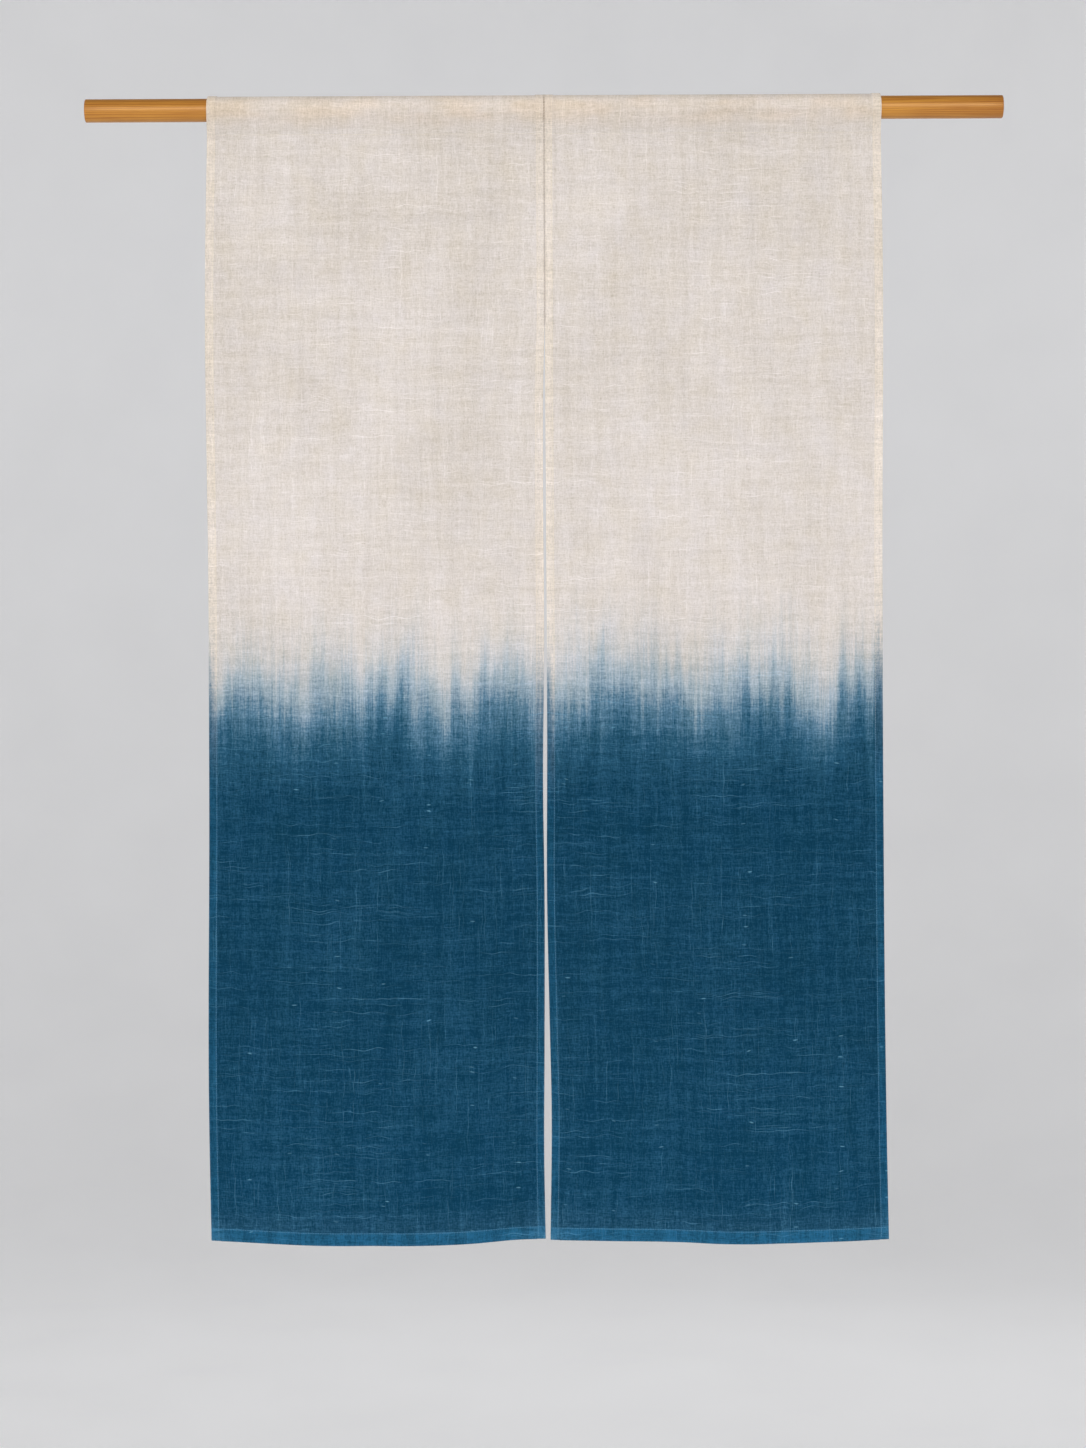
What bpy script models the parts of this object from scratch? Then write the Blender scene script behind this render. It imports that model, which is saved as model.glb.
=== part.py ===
"""A noren curtain on its rod: two hemmed linen panels, each hung by the pocket sewn in its top.

Metres, +Z up. The origin is the centre of the rod's left end face. +X runs along the rod and +Y
points to the back of the cloth. A drop is measured down from the pocket's top crease.
"""

import math
from collections import namedtuple

import bmesh
import bpy
import numpy as np
from mathutils import Matrix

MM = 0.001

# The rod, a turned pole
ROD_LENGTH = 1200 * MM
ROD_RADIUS = 15 * MM
ROD_SIDES = 36
ROD_CHAMFER = 1.2 * MM

# The two panels, side by side in the middle of the rod
CURTAIN_WIDTH = 880 * MM
CURTAIN_DROP = 1498 * MM
CURTAIN_LEFT = (ROD_LENGTH - CURTAIN_WIDTH) / 2
CURTAIN_RIGHT = CURTAIN_LEFT + CURTAIN_WIDTH
SEAM_X = ROD_LENGTH / 2
SEWN_DROP = 295 * MM
SEAM_GAP = 0.3 * MM

# The cloth and its hems, which are folded to the back
CLOTH = 1.0 * MM
HEM_EXTRA = 0.8 * MM
HEM_SLOPE = 2.0 * MM
OUTER_HEM = 11 * MM
SLIT_HEM = 10.5 * MM
BOTTOM_HEM = 17 * MM

# The pocket: round the rod, up to a pressed crease, and down to the stitch line
ROD_CLEARANCE = 0.3 * MM
TUNNEL_RADIUS = ROD_RADIUS + ROD_CLEARANCE
CREASE_RISE = 2.0 * MM
STITCH_DEPTH = 32.5 * MM
POCKET_EDGE_DEPTH = 37.5 * MM
POCKET_TURN_UNDER = 0.8 * MM
CREASE_TOP = TUNNEL_RADIUS + CLOTH + CREASE_RISE

# How finely the panels are divided
POCKET_STEPS = 8
PANEL_ROWS = 21
PANEL_COLUMNS = 20

# Places on a panel's upright edge, in millimetres: the drop, and the shift towards +X
EdgePoint = namedtuple("EdgePoint", "drop shift")
OUTER_EDGE_LEFT = (
    EdgePoint(drop=0, shift=0.0),
    EdgePoint(drop=240, shift=-4.7),
    EdgePoint(drop=650, shift=-2.4),
    EdgePoint(drop=930, shift=-2.7),
    EdgePoint(drop=1340, shift=-4.7),
    EdgePoint(drop=1498, shift=-2.4),
)
OUTER_EDGE_RIGHT = (
    EdgePoint(drop=0, shift=0.0),
    EdgePoint(drop=240, shift=2.6),
    EdgePoint(drop=600, shift=0.2),
    EdgePoint(drop=900, shift=0.0),
    EdgePoint(drop=1380, shift=2.9),
    EdgePoint(drop=1498, shift=4.8),
)
SLIT_EDGE_LEFT = (
    EdgePoint(drop=SEWN_DROP / MM, shift=-SEAM_GAP / 2 / MM),
    EdgePoint(drop=360, shift=-2.3),
    EdgePoint(drop=503, shift=-3.4),
    EdgePoint(drop=725, shift=-3.1),
    EdgePoint(drop=895, shift=-5.2),
    EdgePoint(drop=1050, shift=-3.9),
    EdgePoint(drop=1250, shift=-4.9),
    EdgePoint(drop=1390, shift=-5.9),
    EdgePoint(drop=1498, shift=-4.5),
)
SLIT_EDGE_RIGHT = (
    EdgePoint(drop=SEWN_DROP / MM, shift=SEAM_GAP / 2 / MM),
    EdgePoint(drop=360, shift=-0.1),
    EdgePoint(drop=503, shift=0.1),
    EdgePoint(drop=850, shift=0.3),
    EdgePoint(drop=1050, shift=-0.8),
    EdgePoint(drop=1209, shift=1.8),
    EdgePoint(drop=1327, shift=3.9),
    EdgePoint(drop=1498, shift=1.7),
)

# How far the bottom hem hangs below the corner line, in millimetres, at parts of the width
SagPoint = namedtuple("SagPoint", "across sag")
HEM_SAG_LEFT = (
    SagPoint(across=0.00, sag=0.2),
    SagPoint(across=0.16, sag=3.4),
    SagPoint(across=0.32, sag=6.4),
    SagPoint(across=0.62, sag=7.0),
    SagPoint(across=0.77, sag=4.8),
    SagPoint(across=0.92, sag=0.4),
    SagPoint(across=1.00, sag=0.0),
)
HEM_SAG_RIGHT = (
    SagPoint(across=0.00, sag=0.0),
    SagPoint(across=0.20, sag=3.2),
    SagPoint(across=0.35, sag=4.2),
    SagPoint(across=0.50, sag=7.1),
    SagPoint(across=0.64, sag=7.5),
    SagPoint(across=0.80, sag=4.6),
    SagPoint(across=1.00, sag=2.0),
)

# Soft upright folds, in millimetres: centre from the panel's left edge, half width, depth towards
# the back, the drop where the fold starts and the drop where it has its full depth
Fold = namedtuple("Fold", "centre half_width depth start full")
FOLDS_LEFT = (
    Fold(centre=10, half_width=60, depth=4.0, start=60, full=900),
    Fold(centre=120, half_width=70, depth=-3.0, start=200, full=1100),
    Fold(centre=210, half_width=26, depth=3.0, start=780, full=1150),
    Fold(centre=305, half_width=75, depth=-5.0, start=120, full=800),
    Fold(centre=436, half_width=48, depth=5.5, start=300, full=620),
)
FOLDS_RIGHT = (
    Fold(centre=4, half_width=45, depth=-4.0, start=300, full=700),
    Fold(centre=100, half_width=70, depth=3.5, start=200, full=900),
    Fold(centre=188, half_width=24, depth=2.5, start=250, full=420),
    Fold(centre=298, half_width=26, depth=3.0, start=760, full=1100),
    Fold(centre=375, half_width=70, depth=-4.5, start=120, full=850),
    Fold(centre=438, half_width=30, depth=3.0, start=500, full=1200),
)

# Where the dip-dye ends, as drops: full colour below the first, bare cloth above the second
DYE_FULL_DROP = 900 * MM
DYE_START_DROP = 680 * MM

VARNISHED_WOOD = (0.56, 0.26, 0.08, 1.0)
UNDYED_LINEN = (0.73, 0.66, 0.58, 1.0)
INDIGO_LINEN = (0.009, 0.066, 0.130, 1.0)

Panel = namedtuple("Panel", "name left_x left_edge left_hem right_x right_edge right_hem sag folds")
PANELS = (
    Panel(
        name="panel_left",
        left_x=CURTAIN_LEFT,
        left_edge=OUTER_EDGE_LEFT,
        left_hem=OUTER_HEM,
        right_x=SEAM_X,
        right_edge=SLIT_EDGE_LEFT,
        right_hem=SLIT_HEM,
        sag=HEM_SAG_LEFT,
        folds=FOLDS_LEFT,
    ),
    Panel(
        name="panel_right",
        left_x=SEAM_X,
        left_edge=SLIT_EDGE_RIGHT,
        left_hem=SLIT_HEM,
        right_x=CURTAIN_RIGHT,
        right_edge=OUTER_EDGE_RIGHT,
        right_hem=OUTER_HEM,
        sag=HEM_SAG_RIGHT,
        folds=FOLDS_RIGHT,
    ),
)

# A line of points down a panel: its part of the width, a set distance from there, and 1 on a hem
Column = namedtuple("Column", "across offset hem")


def smooth_read(table, places):
    """Reads a table of two columns on a smooth curve (cubic, with sloped ends) through its rows."""
    rows, values = np.array(table, dtype=float).T
    slopes = np.gradient(values, rows)
    places = np.clip(places, rows[0], rows[-1])
    low = np.clip(np.searchsorted(rows, places) - 1, 0, len(rows) - 2)
    span = rows[low + 1] - rows[low]
    part = (places - rows[low]) / span
    rise = part * part * (3 - 2 * part)
    leave = part * (1 - part) ** 2 * span * slopes[low]
    arrive = part * part * (part - 1) * span * slopes[low + 1]
    return values[low] * (1 - rise) + values[low + 1] * rise + leave + arrive


def smooth_step(value, start, full):
    """Rises smoothly from 0 at start to 1 at full."""
    part = np.clip((value - start) / (full - start), 0, 1)
    return part * part * (3 - 2 * part)


def fold_depth(panel, inward, drop):
    """How far the folds push the cloth to the back, inward metres from its left edge."""
    depth = np.zeros_like(drop)
    for fold in panel.folds:
        shape = np.exp(-(((inward - fold.centre * MM) / (fold.half_width * MM)) ** 2))
        depth += fold.depth * MM * shape * smooth_step(drop, fold.start * MM, fold.full * MM)
    return depth


def pocket_loop(radius):
    """The taut loop at this radius round the rod: tent to the crease, arc, and lines to the stitches.

    Returns the points (y, z) from the front over the top to the back, without the lower meeting
    point. Past the arc the loop runs straight on, which in polar form is radius / cos(angle past).
    """
    crease_angle = math.acos(radius / (radius + CREASE_RISE))
    stitch_angle = math.pi / 2 + math.asin(TUNNEL_RADIUS / STITCH_DEPTH)
    side = np.linspace(stitch_angle, crease_angle, POCKET_STEPS)
    angles = np.concatenate([-side, [0.0], side[::-1]])
    reach = radius / np.cos(np.clip(crease_angle - np.abs(angles), 0, None))
    return np.stack([reach * np.sin(angles), reach * np.cos(angles)], axis=1)


def cross_section(hem):
    """A panel's upright section at one column, as its outer loop and its tunnel loop of (y, z).

    hem is 1 on a side hem and 0 elsewhere. The outer loop runs up the front from the bottom hem,
    over the pocket and down the back. Both lists of rows have the same length, front and back.
    """
    side_extra = hem * HEM_EXTRA
    bottom = CREASE_TOP - CURTAIN_DROP
    above_hem = bottom + BOTTOM_HEM + HEM_SLOPE
    rows = np.linspace(above_hem, -POCKET_EDGE_DEPTH, PANEL_ROWS)
    rows = np.concatenate([[bottom, bottom + BOTTOM_HEM], rows])
    bottom_extra = np.where(rows < above_hem - HEM_SLOPE / 2, HEM_EXTRA, 0.0)

    front = np.stack([np.full_like(rows, -CLOTH), rows], axis=1)
    back = np.stack([side_extra + bottom_extra, rows], axis=1)

    # The pocket's outer lines meet the flat front, and the folded edge's back, where they cross
    radius = TUNNEL_RADIUS + CLOTH + side_extra
    lean_sine = TUNNEL_RADIUS / STITCH_DEPTH
    lean_tangent = lean_sine / math.sqrt(1 - lean_sine**2)
    crossing = -radius / lean_sine
    edge_back = CLOTH + POCKET_TURN_UNDER + side_extra
    front_bend = [-CLOTH, crossing + CLOTH / lean_tangent]
    back_bend = [edge_back, crossing + edge_back / lean_tangent]
    edge_corner = [edge_back, -POCKET_EDGE_DEPTH]

    over = pocket_loop(radius)
    outer = np.concatenate([front, [front_bend], over, [back_bend, edge_corner], back[::-1]])
    tunnel = np.concatenate([[[0.0, -STITCH_DEPTH]], pocket_loop(TUNNEL_RADIUS)])
    return outer, tunnel


def panel_columns(panel):
    """The columns of a panel: an edge and a hem's inner edge on both sides, and even ones between."""
    left = [
        Column(0.0, 0.0, 1),
        Column(0.0, panel.left_hem, 1),
        Column(0.0, panel.left_hem + HEM_SLOPE, 0),
    ]
    right = [
        Column(1.0, -panel.right_hem - HEM_SLOPE, 0),
        Column(1.0, -panel.right_hem, 1),
        Column(1.0, 0.0, 1),
    ]
    between = [Column(step / PANEL_COLUMNS, 0.0, 0) for step in range(1, PANEL_COLUMNS)]
    return left + between + right


def hang(panel, column, section):
    """Places a section's (y, z) points in the room: edges drift, the hem sags, folds go to the back."""
    drop = CREASE_TOP - section[:, 1]
    left = panel.left_x + MM * smooth_read(panel.left_edge, drop / MM)
    right = panel.right_x + MM * smooth_read(panel.right_edge, drop / MM)
    x = left + (right - left) * column.across + column.offset
    across = (x - left) / (right - left)
    y = section[:, 0] + fold_depth(panel, x - left, drop)
    sag = MM * smooth_read(panel.sag, across) * (drop / CURTAIN_DROP) ** 2
    return np.stack([x, y, section[:, 1] - sag], axis=1)


def add_strip(bm, loop, next_loop):
    """Joins two closed loops of vertices of the same length with a ring of four-sided faces."""
    for index, vertex in enumerate(loop):
        after = (index + 1) % len(loop)
        bm.faces.new([vertex, loop[after], next_loop[after], next_loop[index]])


def add_side_face(bm, outer, tunnel):
    """Closes a panel's side: the flat cloth, the folded edge under the stitches, and the pocket."""
    rows = PANEL_ROWS + 2
    front = outer[:rows]
    front_bend = outer[rows]
    over = outer[rows + 1 : -rows - 2]
    back_bend, edge_corner = outer[-rows - 2 : -rows]
    back = outer[-rows:][::-1]
    meeting, inside = tunnel[0], tunnel[1:]

    for row in range(rows - 1):
        bm.faces.new([front[row], front[row + 1], back[row + 1], back[row]])
    bm.faces.new([front[-1], front_bend, meeting, back[-1]])
    bm.faces.new([back[-1], meeting, back_bend, edge_corner])
    bm.faces.new([front_bend, over[0], inside[0], meeting])
    bm.faces.new([over[-1], back_bend, meeting, inside[-1]])
    for step in range(len(over) - 1):
        bm.faces.new([over[step], over[step + 1], inside[step + 1], inside[step]])


def make_panel(panel, material):
    """One cut of cloth as a closed solid, with its origin on the rod's axis at its left edge."""
    bm = bmesh.new()
    hung_at = np.array([panel.left_x, 0.0, 0.0])
    sides = []
    for column in panel_columns(panel):
        outer, tunnel = cross_section(column.hem)
        outer_vertices = [bm.verts.new(point) for point in hang(panel, column, outer) - hung_at]
        tunnel_vertices = [bm.verts.new(point) for point in hang(panel, column, tunnel) - hung_at]
        sides.append((outer_vertices, tunnel_vertices))

    for (outer, tunnel), (next_outer, next_tunnel) in zip(sides, sides[1:]):
        add_strip(bm, outer, next_outer)
        add_strip(bm, tunnel, next_tunnel)
    add_side_face(bm, *sides[0])
    add_side_face(bm, *sides[-1])
    return finish_object(bm, panel.name, material, location=hung_at)


def make_rod(material):
    """The pole along X, with a small chamfer round each end face."""
    bm = bmesh.new()
    along_x = Matrix.Rotation(math.pi / 2, 4, "Y")
    bmesh.ops.create_cone(
        bm,
        cap_ends=True,
        segments=ROD_SIDES,
        radius1=ROD_RADIUS,
        radius2=ROD_RADIUS,
        depth=ROD_LENGTH,
        matrix=along_x,
    )
    end_faces = [face for face in bm.faces if len(face.verts) == ROD_SIDES]
    rims = {edge for face in end_faces for edge in face.edges}
    bmesh.ops.bevel(bm, geom=list(rims), offset=ROD_CHAMFER, segments=1, affect="EDGES")
    return finish_object(bm, "rod", material, location=(ROD_LENGTH / 2, 0.0, 0.0))


def finish_object(bm, name, material, location):
    """Turns the built mesh into a smooth-shaded object with its material, in its place."""
    bmesh.ops.recalc_face_normals(bm, faces=bm.faces)
    mesh = bpy.data.meshes.new(name)
    bm.to_mesh(mesh)
    bm.free()
    mesh.shade_smooth()
    mesh.set_sharp_from_angle(angle=math.radians(35))
    mesh.materials.append(material)
    made = bpy.data.objects.new(name, mesh)
    made.location = location
    bpy.context.scene.collection.objects.link(made)
    return made


def make_material(name, colour, roughness):
    """A plain Principled material of one colour."""
    material = bpy.data.materials.new(name)
    material.use_nodes = True
    shader = material.node_tree.nodes["Principled BSDF"]
    shader.inputs["Base Color"].default_value = colour
    shader.inputs["Roughness"].default_value = roughness
    shader.inputs["Metallic"].default_value = 0.0
    return material


def make_cloth_material(name):
    """Linen that is bare at the top and turns to indigo down the panel's own height."""
    material = make_material(name, UNDYED_LINEN, roughness=0.9)
    nodes = material.node_tree.nodes
    links = material.node_tree.links
    place = nodes.new("ShaderNodeTexCoord")
    axes = nodes.new("ShaderNodeSeparateXYZ")
    dye = nodes.new("ShaderNodeMapRange")
    dye.inputs["From Min"].default_value = CREASE_TOP - DYE_FULL_DROP
    dye.inputs["From Max"].default_value = CREASE_TOP - DYE_START_DROP
    colours = nodes.new("ShaderNodeValToRGB")
    colours.color_ramp.elements[0].color = INDIGO_LINEN
    colours.color_ramp.elements[1].color = UNDYED_LINEN
    links.new(place.outputs["Object"], axes.inputs["Vector"])
    links.new(axes.outputs["Z"], dye.inputs["Value"])
    links.new(dye.outputs["Result"], colours.inputs["Fac"])
    links.new(colours.outputs["Color"], nodes["Principled BSDF"].inputs["Base Color"])
    return material


def main():
    """Clears the scene, builds the rod and the two panels and ties them to one empty."""
    for old in list(bpy.data.objects):
        bpy.data.objects.remove(old, do_unlink=True)

    pieces = [make_rod(make_material("varnished_wood", VARNISHED_WOOD, roughness=0.35))]
    for panel in PANELS:
        pieces.append(make_panel(panel, make_cloth_material(panel.name + "_linen")))

    whole = bpy.data.objects.new("noren_with_rod", None)
    bpy.context.scene.collection.objects.link(whole)
    for piece in pieces:
        piece.parent = whole


main()
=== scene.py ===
"""Dresses the noren curtain: dip-dyed linen panels, their stitching, the varnished rod and a stage.

Metres, +Z up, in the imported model's frame. The origin is the centre of the rod's left end face.
+X runs along the rod and +Y points to the back of the cloth. A drop is measured down from the
pocket's top crease. Laid out as an add-on and run as a script.
"""

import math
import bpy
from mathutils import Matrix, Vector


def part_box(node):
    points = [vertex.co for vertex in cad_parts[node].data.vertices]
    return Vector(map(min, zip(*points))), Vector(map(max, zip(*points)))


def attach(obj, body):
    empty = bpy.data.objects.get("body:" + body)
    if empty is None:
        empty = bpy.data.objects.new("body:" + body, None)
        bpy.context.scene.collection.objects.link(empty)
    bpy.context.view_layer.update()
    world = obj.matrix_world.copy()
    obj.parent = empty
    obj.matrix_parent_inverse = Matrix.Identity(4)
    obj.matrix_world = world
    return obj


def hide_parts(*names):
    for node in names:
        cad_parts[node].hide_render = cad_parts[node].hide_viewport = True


bl_info = {
    "name": "Noren curtain",
    "version": (1, 0, 0),
    "blender": (4, 5, 0),
    "location": "3D View > Sidebar > Noren",
    "description": "Builds a dip-dyed linen noren curtain with its rod and a plain stage",
    "category": "Object",
}

from collections import namedtuple

import bpy
import numpy as np

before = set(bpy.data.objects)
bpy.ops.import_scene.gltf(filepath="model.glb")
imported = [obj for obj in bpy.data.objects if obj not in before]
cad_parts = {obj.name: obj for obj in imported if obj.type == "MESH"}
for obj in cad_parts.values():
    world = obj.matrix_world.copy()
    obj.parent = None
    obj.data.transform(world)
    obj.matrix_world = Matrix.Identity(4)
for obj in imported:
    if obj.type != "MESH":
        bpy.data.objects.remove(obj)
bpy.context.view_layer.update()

MM = 0.001

ROD_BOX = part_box("rod")
ROD_LENGTH = ROD_BOX[1][0] - ROD_BOX[0][0]
ROD_RADIUS = (ROD_BOX[1][2] - ROD_BOX[0][2]) / 2


def table(kind, *rows):
    """Rows of numbers, each as one named tuple of this kind."""
    return tuple(kind(*row) for row in rows)


# The curtain's own sizes, as in the frame
CURTAIN_WIDTH = 880 * MM
CURTAIN_DROP = 1498 * MM
CURTAIN_LEFT = (ROD_LENGTH - CURTAIN_WIDTH) / 2
CURTAIN_RIGHT = CURTAIN_LEFT + CURTAIN_WIDTH
SEAM_X = ROD_LENGTH / 2
SEWN_DROP = 295 * MM
SEAM_GAP = 0.3 * MM
FRONT_FACE = 1.0 * MM
OUTER_HEM = 11 * MM
SLIT_HEM = 10.5 * MM
BOTTOM_HEM = 17 * MM
POCKET_RADIUS = 16.3 * MM
POCKET_HEM_EXTRA = 0.8 * MM
CREASE_TOP = 18.3 * MM
STITCH_DEPTH = 32.5 * MM
POCKET_EDGE_DEPTH = 37.5 * MM
POCKET_RETURN_TOP = -30.6 * MM
CREASE_ROUND = 0.045  # radians over which the pocket's top crease is rounded

# How the hems are turned: what is folded in first, how far in from the hem's edge the stitches run,
# where the layers behind end, and how far the hem stands out and its stitches pull it in
TURN_UNDER = 8.0 * MM
STITCH_INSET = 1.0 * MM
HEM_RAMP = 2.5 * MM
HEM_PUFF = 0.16 * MM
STITCH_PULL = 0.14 * MM

# How strongly the layers behind the side hems and the bottom hem show
SIDE_LAYERS = 0.38
FOOT_LAYERS = 0.92

# The seam's slanting stitches: from one to the next, into each edge, and their slant
SEAM_PITCH = 3.6 * MM
SEAM_BITE = 0.7 * MM
SEAM_SLANT = 1.2 * MM
# How far from the end of its line the first stitch starts
LINE_END = 1.5 * MM

# How finely the pieces are divided
TURN_STEPS = 5
MIDDLE_COLUMNS = 130
FRONT_ROWS = 158
THREAD_SIDES = 6
ROD_SIDES = 96
SWEEP_SIDES = 96

# The stage: the sweep, the world and what the camera sees at the cloth, in metres
SWEEP_RADIUS = 9.0
SWEEP_BEND = 3.5
SWEEP_HEIGHT = 8.0
WORLD_STRENGTH = 0.15
VIEW_HEIGHT = 1.895
VIEW_CENTRE = (0.595, -0.805)
CAMERA_ROLL = math.radians(0.27)

# The soft lights: power as a share of the key light's, width and height, place, and what it faces
Light = namedtuple("Light", "name share size place target")
CURTAIN_MIDDLE = (SEAM_X, 0.0, -0.7)
LIGHTS = table(
    Light,
    ("key", 1.0, (4.4, 3.0), (SEAM_X - 0.05, -6.2, 1.1), CURTAIN_MIDDLE),
    ("top", 0.042, (1.8, 0.6), (SEAM_X, -0.45, 1.5), (SEAM_X, 0.0, 0.0)),
    ("side", 0.06, (1.6, 2.4), (-2.2, -2.6, 0.2), CURTAIN_MIDDLE),
    ("back", 0.5, (4.4, 3.0), (SEAM_X + 0.8, 6.2, 1.1), CURTAIN_MIDDLE),
)
LIGHT_SPREAD = math.radians(140)

# Places on a panel's upright edge, in millimetres: the drop, and the shift towards +X
EdgePoint = namedtuple("EdgePoint", "drop shift")
OUTER_EDGE_LEFT = table(
    EdgePoint,
    (0, 0.0), (240, -4.7), (650, -2.4), (930, -2.7), (1340, -4.7), (1498, -2.4),
)
OUTER_EDGE_RIGHT = table(
    EdgePoint,
    (0, 0.0), (240, 2.6), (600, 0.2), (900, 0.0), (1380, 2.9), (1498, 4.8),
)
SLIT_EDGE_LEFT = table(
    EdgePoint,
    (SEWN_DROP / MM, -SEAM_GAP / 2 / MM), (360, -2.3), (503, -3.4), (725, -3.1), (895, -5.2),
    (1050, -3.9), (1250, -4.9), (1390, -5.9), (1498, -4.5),
)
SLIT_EDGE_RIGHT = table(
    EdgePoint,
    (SEWN_DROP / MM, SEAM_GAP / 2 / MM), (360, -0.1), (503, 0.1), (850, 0.3), (1050, -0.8),
    (1209, 1.8), (1327, 3.9), (1498, 1.7),
)

# How far the bottom hem hangs below the corner line, in millimetres, at parts of the width
SagPoint = namedtuple("SagPoint", "across sag")
HEM_SAG_LEFT = table(
    SagPoint,
    (0.00, 0.2), (0.16, 3.4), (0.32, 6.4), (0.62, 7.0), (0.77, 4.8), (0.92, 0.4), (1.00, 0.0),
)
HEM_SAG_RIGHT = table(
    SagPoint,
    (0.00, 0.0), (0.20, 3.2), (0.35, 4.2), (0.50, 7.1), (0.64, 7.5), (0.80, 4.6), (1.00, 2.0),
)

# Soft upright folds and finer creases, in millimetres: centre from the panel's left edge, half
# width, depth towards the back, and the drops where a fold starts and has its full depth
Fold = namedtuple("Fold", "centre half_width depth start full")
FOLDS_LEFT = table(
    Fold,
    (10, 60, 4.0, 60, 900), (120, 70, -3.0, 200, 1100), (210, 26, 3.0, 780, 1150),
    (305, 75, -5.0, 120, 800), (436, 48, 5.5, 300, 620),
)
FOLDS_RIGHT = table(
    Fold,
    (4, 45, -4.0, 300, 700), (100, 70, 3.5, 200, 900), (188, 24, 2.5, 250, 420),
    (298, 26, 3.0, 760, 1100), (375, 70, -4.5, 120, 850), (438, 30, 3.0, 500, 1200),
)
# Creases lean: the place moves towards +X by lean for each millimetre of drop past start
Crease = namedtuple("Crease", "centre half_width depth start end lean")
CREASES_LEFT = table(
    Crease,
    (62, 14, 0.5, 70, 620, 0.03), (168, 11, -0.45, 420, 1300, -0.02),
    (252, 13, 0.6, 900, 1490, 0.04), (352, 10, -0.5, 60, 760, 0.02),
    (398, 9, 0.45, 520, 1420, -0.03),
)
CREASES_RIGHT = table(
    Crease,
    (44, 10, 0.5, 500, 1400, 0.03), (150, 13, -0.5, 60, 700, -0.03),
    (246, 12, 0.55, 350, 1250, 0.02), (330, 10, -0.45, 820, 1490, 0.03),
    (404, 12, 0.5, 80, 680, -0.02),
)

# The uneven dye line, in millimetres: a tongue's centre from the panel's left edge, half width,
# how far it climbs above the mean line (or stays below it), and its lean towards +X while it climbs
Tongue = namedtuple("Tongue", "centre half_width rise lean")
TONGUES_LEFT = table(
    Tongue,
    (3, 4, 33, 0.0), (12, 5, -29, 0.0), (64, 7, 16, 0.05), (98, 22, -22, 0.0), (140, 7, 13, 0.05),
    (172, 5, 16, 0.1), (201, 5, -37, 0.0), (229, 5, 24, 0.1), (254, 8, 42, 0.15),
    (283, 14, -10, 0.05), (309, 7, -46, 0.0), (323, 4, 16, 0.0), (342, 7, -29, 0.0),
    (361, 4, 33, 0.05), (388, 6, 29, 0.05), (405, 8, 10, 0.0), (429, 8, -39, 0.0),
)
TONGUES_RIGHT = table(
    Tongue,
    (220, 300, 10, 0.0), (3, 3, 22, 0.0), (7, 3, -39, 0.0), (16, 8, -13, 0.0), (38, 14, 7, 0.05),
    (67, 6, 46, 0.08), (81, 4, 20, 0.05), (140, 12, 29, 0.0), (197, 15, -34, 0.0),
    (219, 4, 13, 0.0), (238, 9, -13, 0.0), (258, 5, 37, 0.05), (290, 7, 40, 0.12),
    (304, 4, -20, 0.0), (315, 4, 30, 0.05), (358, 20, -24, 0.0), (374, 4, -16, 0.0),
    (385, 5, 45, 0.05), (410, 6, 26, 0.05), (422, 4, -34, 0.0), (434, 4, 46, 0.0),
)
# What the tables' rises and half widths are multiplied by
TONGUE_REACH = 0.5
TONGUE_SPREAD = 1.3

# The dye's strength by depth past the dye line, in millimetres
DyePoint = namedtuple("DyePoint", "depth strength")
DYE_CURVE = table(
    DyePoint,
    (-155, 0.0), (-96, 0.03), (-60, 0.11), (-29, 0.27), (0, 0.47), (27, 0.66), (57, 0.82),
    (106, 0.95), (185, 1.0),
)
# The dyes' names, and the strengths between which each changes to the next
DYES = ("Undyed", "Faint", "Half", "Deep", "Full")
DYE_STEPS = (0.0, 0.33, 0.62, 0.82, 1.0)

# Uneven threads and streaks: the features per metre across and along, and how much each counts
Layer = namedtuple("Layer", "across along weight")
THREAD_TONES = table(
    Layer,
    (380, 340, 0.47), (850, 80, 0.46), (75, 850, 0.48), (260, 24, 0.24), (26, 260, 0.26),
    (100, 4, 0.24), (5, 100, 0.24),
)
DYE_STREAKS = table(
    Layer,
    (900, 12, 0.030), (380, 8, 0.028), (130, 8, 0.026), (38, 6, 0.040), (15, 5, 0.032),
)

# Colours as on a screen that the sidebar doesn't offer
PALE_SLUB = (112, 170, 196)
BARE_WEAR_AND_HIGHLIGHT = (243, 232, 217)
WORN_DYED = (104, 156, 182)
ROD_GLOW = (230, 211, 190)
SEAM_SHADOW = (118, 92, 68)

# The rod's growth rings, where their pith lies beside the axis, and the colour of the varnish's gloss
RING_WIDTH = 2.6 * MM
PITH_OFFSET = (0.0, 0.021, -0.013)
VARNISH_TINT = (1.0, 0.66, 0.32, 1.0)
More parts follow.
